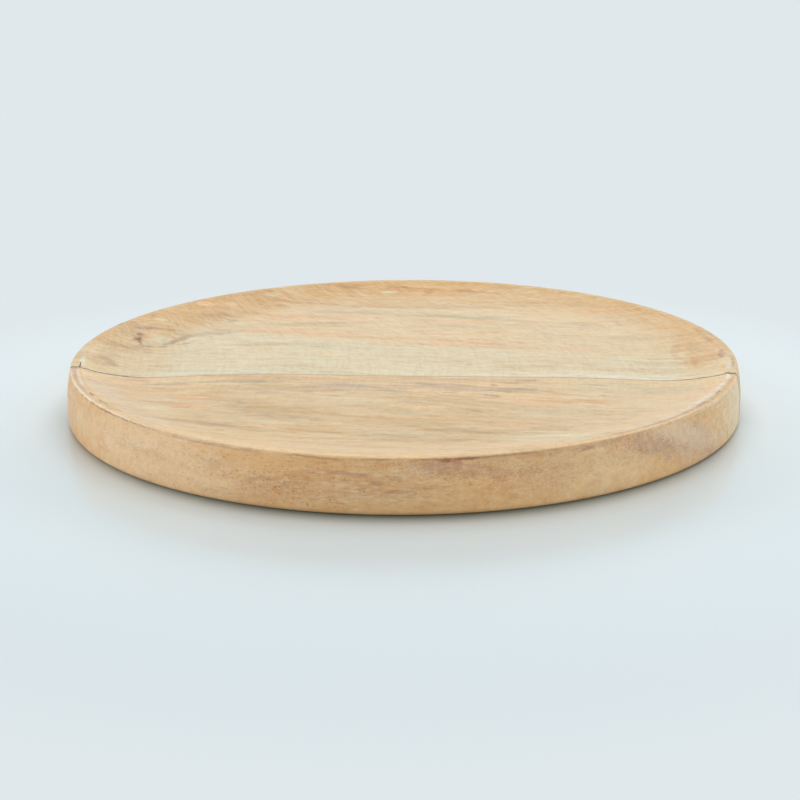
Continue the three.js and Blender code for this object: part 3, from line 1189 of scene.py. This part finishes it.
WALL_PITS = [  # the rows, the cells in each mm along and up, their crowding, and their widths
    (WALL_DASHES, (0.16, 1.05, 0), (0.05, 0.12), (0.58, 0.3)),
    (WALL_PALE_DASHES, (0.19, 0.85, 0), (0.06, 0.14), (0.56, 0.28)),
    (WALL_DOTS, (0.5, 0.75, 0), (0.05, 0.2), (0.34, 0.13)),
]
print(len(WALL_MARKS) + len(WALL_SPECKS), "marks and", len(WALL_PITS), "kinds of pits on the wall")

# %% [markdown]
# ## From tones to a board
#
# A board starts as one colour, and its patches are laid over it one by one. Streaks tear a
# patch's edge, and tear says how far. The place that a patch is measured from is shaken by soft
# noise first, so that nothing on the board looks drawn.

# %% Laying patches
def lay(bench, colour, rows, place, streaks, tear):
    """Lay each row's tone over colour."""
    for tone, strength, x, y, length, width, turn, *bend in rows:
        angle = math.radians(turn)
        sine, cosine = math.sin(angle), math.cos(angle)
        mask = bench.group(
            SOFT_PATCH,
            Place=place,
            Centre=(x, y, 0),
            Along=(cosine / length, sine / length, 0),
            Across=(-sine / width, cosine / width, 0),
            Bend=bend[0] if bend else 0,
            Streaks=streaks,
            Tear=tear,
            Strength=strength,
        )["Mask"]
        colour = bench.mix(mask, colour, TONES[tone])
    return colour


def shaken(bench, place, stretch, reach):
    """Place moved about by soft noise: stretch is its cells in each mm, reach how far it moves."""
    noise = bench.noise(bench.vector("MULTIPLY", place, stretch), 3.0, 0.6, colour=True)
    centred = bench.vector("SUBTRACT", noise, (0.5, 0.5, 0.5))
    return bench.vector("ADD", place, bench.vector("MULTIPLY", centred, reach))


# %% [markdown]
# ## How the grain bends
#
# Grain lines run a little aslant to the joint. They part round the knot, as the living wood grew
# round the branch, and at the left rear they swing away with it. In the front board they make long
# ovals round a place where the saw just touched a growth ring. Bending Y before the grain group
# reads it bends all its lines at once.

# %% How the grain bends in each board
def around(bench, place, y, centre_x, centre_y, stretch, strength):
    """How far Y is pulled towards a centre, so that the lines part and flow round it."""
    offset = bench.vector("SUBTRACT", place, (centre_x, centre_y, 0))
    distance = bench.vector("LENGTH", bench.vector("MULTIPLY", offset, stretch))
    near = bench.rise(distance, 1.5, 0.0, 0.0, strength)
    return bench.math("MULTIPLY", bench.math("SUBTRACT", y, centre_y), near)


SLANT = 0.1
SWING_FROM = -62.0  # the lines swing away to the left of this X
SWING = (40.0, 100.0, 0.0, 0.3)  # from Y to Y, and how much at each
KNOT = (-115.0, 38.0, (0.05, 0.035, 0), 0.85)  # centre, one over its half sizes, and strength
OVAL = (15.0, -76.0, (0.024, 0.06, 0), 0.75)


def aslant(bench, x, y):
    """Y with all the lines turned a little."""
    return bench.math("ADD", y, bench.math("MULTIPLY", x, SLANT))


def rear_flow(bench, place):
    """The rear board's place, bent round the knot and away from it."""
    x, y, z = bench.separate(place)
    left = bench.math("MAXIMUM", bench.math("SUBTRACT", SWING_FROM, x), 0.0)
    swung = bench.math("MULTIPLY", left, bench.rise(y, *SWING))
    across = bench.math("SUBTRACT", aslant(bench, x, y), swung)
    pull = around(bench, place, y, *KNOT)
    return bench.combine(x, bench.math("SUBTRACT", across, pull), z)


def front_flow(bench, place):
    """The front board's place, bent to long ovals."""
    x, y, z = bench.separate(place)
    pull = around(bench, place, y, *OVAL)
    return bench.combine(x, bench.math("SUBTRACT", aslant(bench, x, y), pull), z)


# %% [markdown]
# ## The sapwood, and the warm, shaded rear cove
#
# The rear board is pale sapwood along the joint. Its edge is a bowed line that the streaks tear.
# Towards the rear rim an orange tint follows the distance from the axis and not the grain. It is
# partly the wood's warmer colour and partly painted shade, where the rear cove tilts towards the
# camera and away from the light.

# %% The rear board's sapwood and its warm, shaded cove
SAPWOOD_EDGE = (27.0, -0.22, 0.0008)  # its Y where X is 0, its slope, and its bow
SAPWOOD_BLUR = (7.0, -6.0)
SAPWOOD_LEFT = (-118.0, -98.0)
SAPWOOD_RIGHT = (134.0, 118.0)
# partly painted shade: the orange band of the rear cove, where it faces away from the light
WARM_FROM_AXIS = (112.0, 134.0, 0.0, 0.85)
WARM_SHIFT = (40.0, 110.0, -3.0, 8.0)  # from X to X, how much farther out it starts
WARM_REAR = (0.0, 30.0)


def torn_by(bench, streaks, reach):
    """How far streaks move an edge, in mm."""
    return bench.math("MULTIPLY", bench.math("SUBTRACT", streaks, 0.5), reach)


def sapwood_mask(bench, place, streaks):
    """1 on the pale side of the bowed edge, between the knot and the right end."""
    x, y = bench.separate(place)[:2]
    middle, slope, bow = SAPWOOD_EDGE
    bowed = bench.math("MULTIPLY", bench.math("MULTIPLY", x, x), bow)
    sloped = bench.math("ADD", middle, bench.math("MULTIPLY", x, slope))
    edge = bench.math("ADD", sloped, bowed)
    above = bench.math("ADD", bench.math("SUBTRACT", y, edge), torn_by(bench, streaks, 30.0))
    left, right = bench.rise(x, *SAPWOOD_LEFT), bench.rise(x, *SAPWOOD_RIGHT)
    between = bench.math("MULTIPLY", left, right)
    return bench.math("MULTIPLY", bench.rise(above, *SAPWOOD_BLUR), between)


def warm_and_shaded_cove_mask(bench, place, streaks):
    """Rises towards the rear rim: the wood's warmer colour, with painted shade of the rear cove."""
    x, y = bench.separate(place)[:2]
    from_axis = bench.vector("LENGTH", bench.combine(x, y, 0.0))
    shifted = bench.math("SUBTRACT", from_axis, bench.rise(x, *WARM_SHIFT))
    torn = bench.math("ADD", shifted, torn_by(bench, streaks, 24.0))
    return bench.math("MULTIPLY", bench.rise(torn, *WARM_FROM_AXIS), bench.rise(y, *WARM_REAR))


# %% The figure of each board
FIGURE_TEAR = 1.6
KNOT_TEAR = 1.2  # the knot is harder, so its marks have cleaner edges


def rear_figure(bench, base, broad_place, spot_place, streaks):
    """All that the rear board shows, laid over its base colour."""
    colour = lay(bench, base, REAR_FIGURE, broad_place, streaks, FIGURE_TEAR)
    colour = bench.mix(sapwood_mask(bench, broad_place, streaks), colour, TONES["sapwood"])
    colour = lay(bench, colour, REAR_SAPWOOD_FIGURE, broad_place, streaks, FIGURE_TEAR)
    # partly painted shade: the rear cove's orange band
    colour = bench.mix(warm_and_shaded_cove_mask(bench, broad_place, streaks), colour, TONES["orange"])
    colour = lay(bench, colour, REAR_END_FIGURE, spot_place, streaks, FIGURE_TEAR)
    colour = lay(bench, colour, KNOT_FIGURE, spot_place, streaks, KNOT_TEAR)
    return lay(bench, colour, REAR_SPOTS, spot_place, streaks, FIGURE_TEAR)


def front_figure(bench, base, broad_place, spot_place, streaks):
    """All that the front board shows, laid over its base colour."""
    colour = lay(bench, base, FRONT_FIGURE, broad_place, streaks, FIGURE_TEAR)
    return lay(bench, colour, FRONT_SPOTS, spot_place, streaks, FIGURE_TEAR)


# %% [markdown]
# ## Fine grain over the figure
#
# On top of the figure lie the fine things. Each is a value from the grain or the ripple group, of
# which a high part tints the wood one way and a low part another way. The wall shows them weaker,
# because its open fibres drank more oil, which evens them out.

# %% Tints
FINE_TINTS = [  # measure, where the tint starts, where it is full, its strength, tone, blend
    ("Bands", 0.5, 0.3, 0.24, "brown", "MULTIPLY"),
    ("Bands", 0.52, 0.72, 0.24, "cream", "MIX"),
    ("Hue", 0.5, 0.7, 0.24, "amber", "MULTIPLY"),
    ("Hue", 0.5, 0.3, 0.3, "cool", "MULTIPLY"),
    ("Flecks", 0.5, 0.32, 0.12, "brown", "MULTIPLY"),
    ("Flecks", 0.53, 0.7, 0.15, "cream", "MIX"),
    ("Warm", 0.5, 0.72, 0.18, "amber", "MULTIPLY"),
    ("Warm", 0.5, 0.28, 0.24, "cool", "MULTIPLY"),
    ("Pale", 0.5, 0.7, 0.16, "cream", "MIX"),
    ("Pale", 0.5, 0.3, 0.10, "brown", "MULTIPLY"),
    ("Fibre", 0.5, 0.25, 0.12, "brown", "MULTIPLY"),
    ("Fibre", 0.5, 0.75, 0.12, "cream", "MIX"),
    ("Ripple", 0.5, 0.7, 0.22, "cream", "MIX"),
    ("Ripple", 0.5, 0.3, 0.13, "brown", "MULTIPLY"),
    ("Pores", 0.0, 1.0, 0.4, "plum", "MULTIPLY"),
    ("Dashes", 0.0, 1.0, 0.3, "plum", "MULTIPLY"),
]


def lay_fine_tints(bench, colour, measures, strength_here):
    """Lay every fine tint over colour."""
    for measure, start, full, strength, tone, blend in FINE_TINTS:
        mask = bench.rise(measures[measure], start, full, 0.0, strength)
        share = bench.math("MULTIPLY", mask, strength_here, clamp=True)
        colour = bench.mix(share, colour, TONES[tone], blend)
    return colour


# %% [markdown]
# ## Wall and rim
#
# The wall is tinted a deeper, darker tan than the faces.
# Marks are laid over it in the wall's own map. The rim's marks come last, in a map whose second
# measure runs outwards over the rim and then on down the wall, so a dark dash can lie across the
# edge. They fade out below the rim.

# %% The wall's colour and the rim's
# the wall is multiplied by this tint to a deeper, darker tan
WALL_TINT_SHARE = 0.62
WALL_TINT = srgb(227, 199, 158)
WALL_SHAKE = ((0.09, 0.22, 0), (12, 4, 0))  # cells in each mm, and how far the place moves
RIM_SHAKE = ((0.16, 0.5, 0), (8, 1.0, 0))
CRUMB_CELLS = (0.85, 1.6, 0)
WALL_TEAR = 2.4
SPECK_TEAR = 5
PIT_TEAR = 4
RIM_TEAR = 2.2
RIM_MARKS_END = (12.0, 18.0)  # from this height to that the rim's marks come in


def tinted_wall(bench, colour, rolled_out, flecks, wall):
    """The wall's deeper colour, with its marks, specks and pits."""
    marks, specks, pits = wall
    colour = bench.mix(WALL_TINT_SHARE, colour, WALL_TINT, "MULTIPLY")
    place = shaken(bench, rolled_out, *WALL_SHAKE)
    colour = lay(bench, colour, marks, place, flecks, WALL_TEAR)
    crumbs = bench.noise(bench.vector("MULTIPLY", rolled_out, CRUMB_CELLS), 3.0, 0.6)
    colour = lay(bench, colour, specks, place, crumbs, SPECK_TEAR)
    for rows, *cells in pits:
        between_pits = bench.math("SUBTRACT", 1.0, pores(bench, rolled_out, *cells))
        colour = lay(bench, colour, rows, place, between_pits, PIT_TEAR)
    return colour


def marked_rim(bench, colour, tray, beyond_flat, flecks, rows):
    """Colour with the rim's marks laid over it."""
    down = bench.math("SUBTRACT", TRAY_HEIGHT / MM, tray["Height"])
    over_edge = bench.math("ADD", tray["Radius"], bench.math("MULTIPLY", beyond_flat, down))
    round_edge = bench.separate(tray["Rolled out"])[0]
    place = shaken(bench, bench.combine(round_edge, over_edge, 0.0), *RIM_SHAKE)
    marked = lay(bench, colour, rows, place, flecks, RIM_TEAR)
    return bench.mix(bench.rise(tray["Height"], *RIM_MARKS_END), colour, marked)


# %% [markdown]
# ## The boards' finish
#
# Both boards share one recipe: figure, wall, rim, fine tints, the joint's stain, and a satin sheen
# with a shallow relief of flecks, ripple and pores. They differ in the base colour, the strength of
# the grain, the way it bends, and their rows of marks.

# %% The boards' finish
FLAT_ENDS = (146.8, 147.2)  # the wall begins between these distances from the axis
RIM_TOP = (23.0, 22.4)  # and between these heights
FLOW_SHAKE = ((0.015, 0.04, 0.04), (0, 10, 0))
BROAD_SHAKE = ((0.03, 0.09, 0.09), (20, 7, 0))
SPOT_SHAKE = ((0.10, 0.12, 0.12), (6, 5, 0))
FLECK_SHARE = 0.9  # how much the flecks add to the bands that tear a patch's edge
WALL_GRAIN_STRENGTH = 0.75
SATIN = (0.3, 0.7, 0.55, 0.42)  # from dark flecks to pale ones, and the roughness of each
STAIN_SHARE = 0.85
STAIN_COLOUR = srgb(104, 74, 54)


def wood_finish(name, base, grain_strength, flow_of, figure_of, rim_marks, wall):
    """The finish of one board."""
    material, bench, shader = new_finish(name)
    tray = bench.group(PLACE_ON_TRAY)
    place, rolled_out = tray["Place"], tray["Rolled out"]
    beyond_flat = bench.rise(tray["Radius"], *FLAT_ENDS)
    on_wall = bench.math("MULTIPLY", beyond_flat, bench.rise(tray["Height"], *RIM_TOP))
    flow = flow_of(bench, shaken(bench, place, *FLOW_SHAKE))
    grain = bench.group(MANGO_GRAIN, Flow=flow)
    flecks = grain["Flecks"]
    streaks = bench.math("ADD", grain["Bands"], torn_by(bench, flecks, FLECK_SHARE))
    broad_place = shaken(bench, place, *BROAD_SHAKE)
    spot_place = shaken(bench, place, *SPOT_SHAKE)

    colour = figure_of(bench, base, broad_place, spot_place, streaks)
    wall_colour = tinted_wall(bench, colour, rolled_out, flecks, wall)
    colour = bench.mix(on_wall, colour, wall_colour)
    colour = marked_rim(bench, colour, tray, beyond_flat, flecks, rim_marks)

    warm, pale = bench.separate(grain["Mottle"])[:2]
    ripple = bench.group(TOOL_RIPPLE, Place=place, Rolled_out=rolled_out, On_wall=on_wall)["Ripple"]
    measures = {label: grain[label] for label in GRAIN_MEASURES}
    measures.update(Warm=warm, Pale=pale, Ripple=ripple)
    strength_here = bench.rise(on_wall, 0.0, 1.0, grain_strength, WALL_GRAIN_STRENGTH)
    colour = lay_fine_tints(bench, colour, measures, strength_here)
    stain = bench.math("MULTIPLY", bench.group(JOINT_STAIN, Place=place)["Mask"], STAIN_SHARE)
    bench.feed(shader.inputs["Base Color"], bench.mix(stain, colour, STAIN_COLOUR))
    bench.feed(shader.inputs["Roughness"], bench.rise(flecks, *SATIN))

    relief = bench.math("MULTIPLY", bench.math("ADD", flecks, ripple), 0.5)
    relief = bench.math("SUBTRACT", relief, bench.math("MULTIPLY", grain["Pores"], 0.5))
    add_relief(bench, shader, relief, 0.5, 0.05 * MM)
    print(name, "has", len(material.node_tree.nodes), "nodes")
    return material


# %% Dress the boards
NO_WALL_MARKS = ([], [], [])  # the rear board's wall can't be seen in the picture
rear_base, rear_strength = srgb(226, 200, 159), 1.0
rear_ways = (rear_flow, rear_figure, REAR_RIM_MARKS, NO_WALL_MARKS)
dress(rear_board, wood_finish("rear_wood", rear_base, rear_strength, *rear_ways))
front_base, front_strength = srgb(231, 198, 152), 0.82
front_wall = (WALL_MARKS, WALL_SPECKS, WALL_PITS)
front_ways = (front_flow, front_figure, FRONT_RIM_MARKS, front_wall)
dress(front_board, wood_finish("front_wood", front_base, front_strength, *front_ways))

# %% [markdown]
# ## The floor
#
# The tray stands on a large pale gloss sheet, which shows a soft reflection of the wall. The shade
# round a thin, low thing is weak, so the sheet's own colour helps it along: a wide soft shade, and
# a narrow dark one where wall and sheet meet. Both are ellipses, a little forward of the tray.

# %% Floor
FLOOR_SIZE = 16
FLOOR_COLOUR = srgb(224, 232, 235)
SHADE_CENTRE = (0.001, -0.0165, 0)
SHADE_SQUEEZE = (0.985, 1, 1)
WIDE_SHADE = (0.21, 0.13, 0.0, 0.14)  # from and to these distances in metres, how strong
NARROW_SHADE = (0.146, 0.128)

bpy.ops.object.select_all(action="DESELECT")
bpy.ops.mesh.primitive_plane_add(size=FLOOR_SIZE, location=(0, FLOOR_SIZE / 4, 0))
floor = bpy.context.active_object
floor.name = "floor"
bpy.ops.object.transform_apply(location=True)

floor_finish, bench, shader = new_finish("floor")
on_floor = bench.node("ShaderNodeTexCoord").outputs["Object"]
from_middle = bench.vector("SUBTRACT", on_floor, SHADE_CENTRE)
from_middle = bench.vector("LENGTH", bench.vector("MULTIPLY", from_middle, SHADE_SQUEEZE))
wide, narrow = bench.rise(from_middle, *WIDE_SHADE), bench.rise(from_middle, *NARROW_SHADE)
floor_colour = bench.mix(wide, srgb(230, 239, 242), srgb(120, 132, 120))
floor_colour = bench.mix(narrow, floor_colour, srgb(98, 120, 122))
bench.feed(shader.inputs["Base Color"], floor_colour)
shader.inputs["Roughness"].default_value = 0.2
shader.inputs["IOR"].default_value = 1.5
dress(floor, floor_finish)
print("the floor is", FLOOR_SIZE, "m wide")

# %% [markdown]
# ## The backdrop
#
# A studio sheet curves up behind the object and is lit to one plain tone. Here the far floor and
# the world show that tone to the camera and to mirrors, through the Light Path node, while all
# other rays meet the real floor and a dim, cool room. So the backdrop adds no light of its own.

# %% Backdrop
PLAIN_CENTRE = (0, -0.07, 0)
PLAIN_FLOOR = (0.2, 0.32)  # beyond these distances from it, in metres, the floor shows one tone
ROOM_COLOUR = (0.85, 0.97, 1, 1)
ROOM_STRENGTH = 0.22


def seen_directly(bench):
    """1 where the camera looks, or a mirror or clear thing shows the spot."""
    ray = bench.node("ShaderNodeLightPath").outputs
    seen = bench.math("MAXIMUM", ray["Is Camera Ray"], ray["Is Glossy Ray"])
    return bench.math("MAXIMUM", seen, ray["Is Transmission Ray"])


def blended(bench, share, first, second, surface):
    """Blend two shaders into surface."""
    blend = bench.node("ShaderNodeMixShader")
    for socket, value in zip(blend.inputs, (share, first, second)):
        bench.feed(socket, value)
    bench.feed(surface, blend.outputs[0])


glow = bench.node("ShaderNodeEmission")
glow.inputs["Color"].default_value = FLOOR_COLOUR
from_front = bench.vector("SUBTRACT", on_floor, PLAIN_CENTRE)
far_away = bench.rise(bench.vector("LENGTH", from_front), *PLAIN_FLOOR)
glow_share = bench.math("MULTIPLY", seen_directly(bench), far_away)
floor_surface = floor_finish.node_tree.nodes["Material Output"].inputs["Surface"]
blended(bench, glow_share, shader.outputs[0], glow.outputs[0], floor_surface)

world = bpy.data.worlds.new("soft_room")
bpy.context.scene.world = world
world.use_nodes = True
bench = Bench(world.node_tree)
room = world.node_tree.nodes["Background"]
room.inputs["Color"].default_value = ROOM_COLOUR
room.inputs["Strength"].default_value = ROOM_STRENGTH
shown = bench.node("ShaderNodeBackground")
shown.inputs["Color"].default_value = FLOOR_COLOUR
world_surface = world.node_tree.nodes["World Output"].inputs["Surface"]
blended(bench, seen_directly(bench), room.outputs[0], shown.outputs[0], world_surface)
print("the world is", world.name)

# %% [markdown]
# ## The lamps
#
# One big softbox, high up and a little to the rear, lights the dish evenly, so the wall's shade
# falls forwards. A low one at the rear lifts the rear of the dish. Weak, low ones in front and at
# both sides light the wall. None of them is seen by the camera or in a reflection.

# %% Softboxes
SOFTBOXES = {  # place, width and depth in metres, power in watts
    "overhead_softbox": ((0.08, 0.45, 1.2), 1.2, 1.2, 13.8),
    "rear_softbox": ((0.15, 1.45, 0.55), 1.4, 0.4, 5.4),
    "front_softbox": ((0.1, -1.5, 0.15), 1.2, 0.2, 9.2),
    "left_softbox": ((-1.4, -0.1, 0.17), 0.6, 0.25, 9.2),
    "right_softbox": ((1.4, -0.1, 0.17), 0.6, 0.25, 5.4),
}
for name, (place, width, depth, power) in SOFTBOXES.items():
    light = bpy.data.lights.new(name, "AREA")
    light.shape = "RECTANGLE"
    light.size = width
    light.size_y = depth
    light.energy = power
    lamp = bpy.data.objects.new(name, light)
    lamp.location = place
    lamp.rotation_mode = "QUATERNION"
    lamp.rotation_quaternion = (-Vector(place)).to_track_quat("-Z", "Y")
    lamp.visible_camera = False
    lamp.visible_glossy = False
    bpy.context.scene.collection.objects.link(lamp)
bpy.context.scene.view_settings.view_transform = "Standard"
print("lamps:", list(SOFTBOXES))
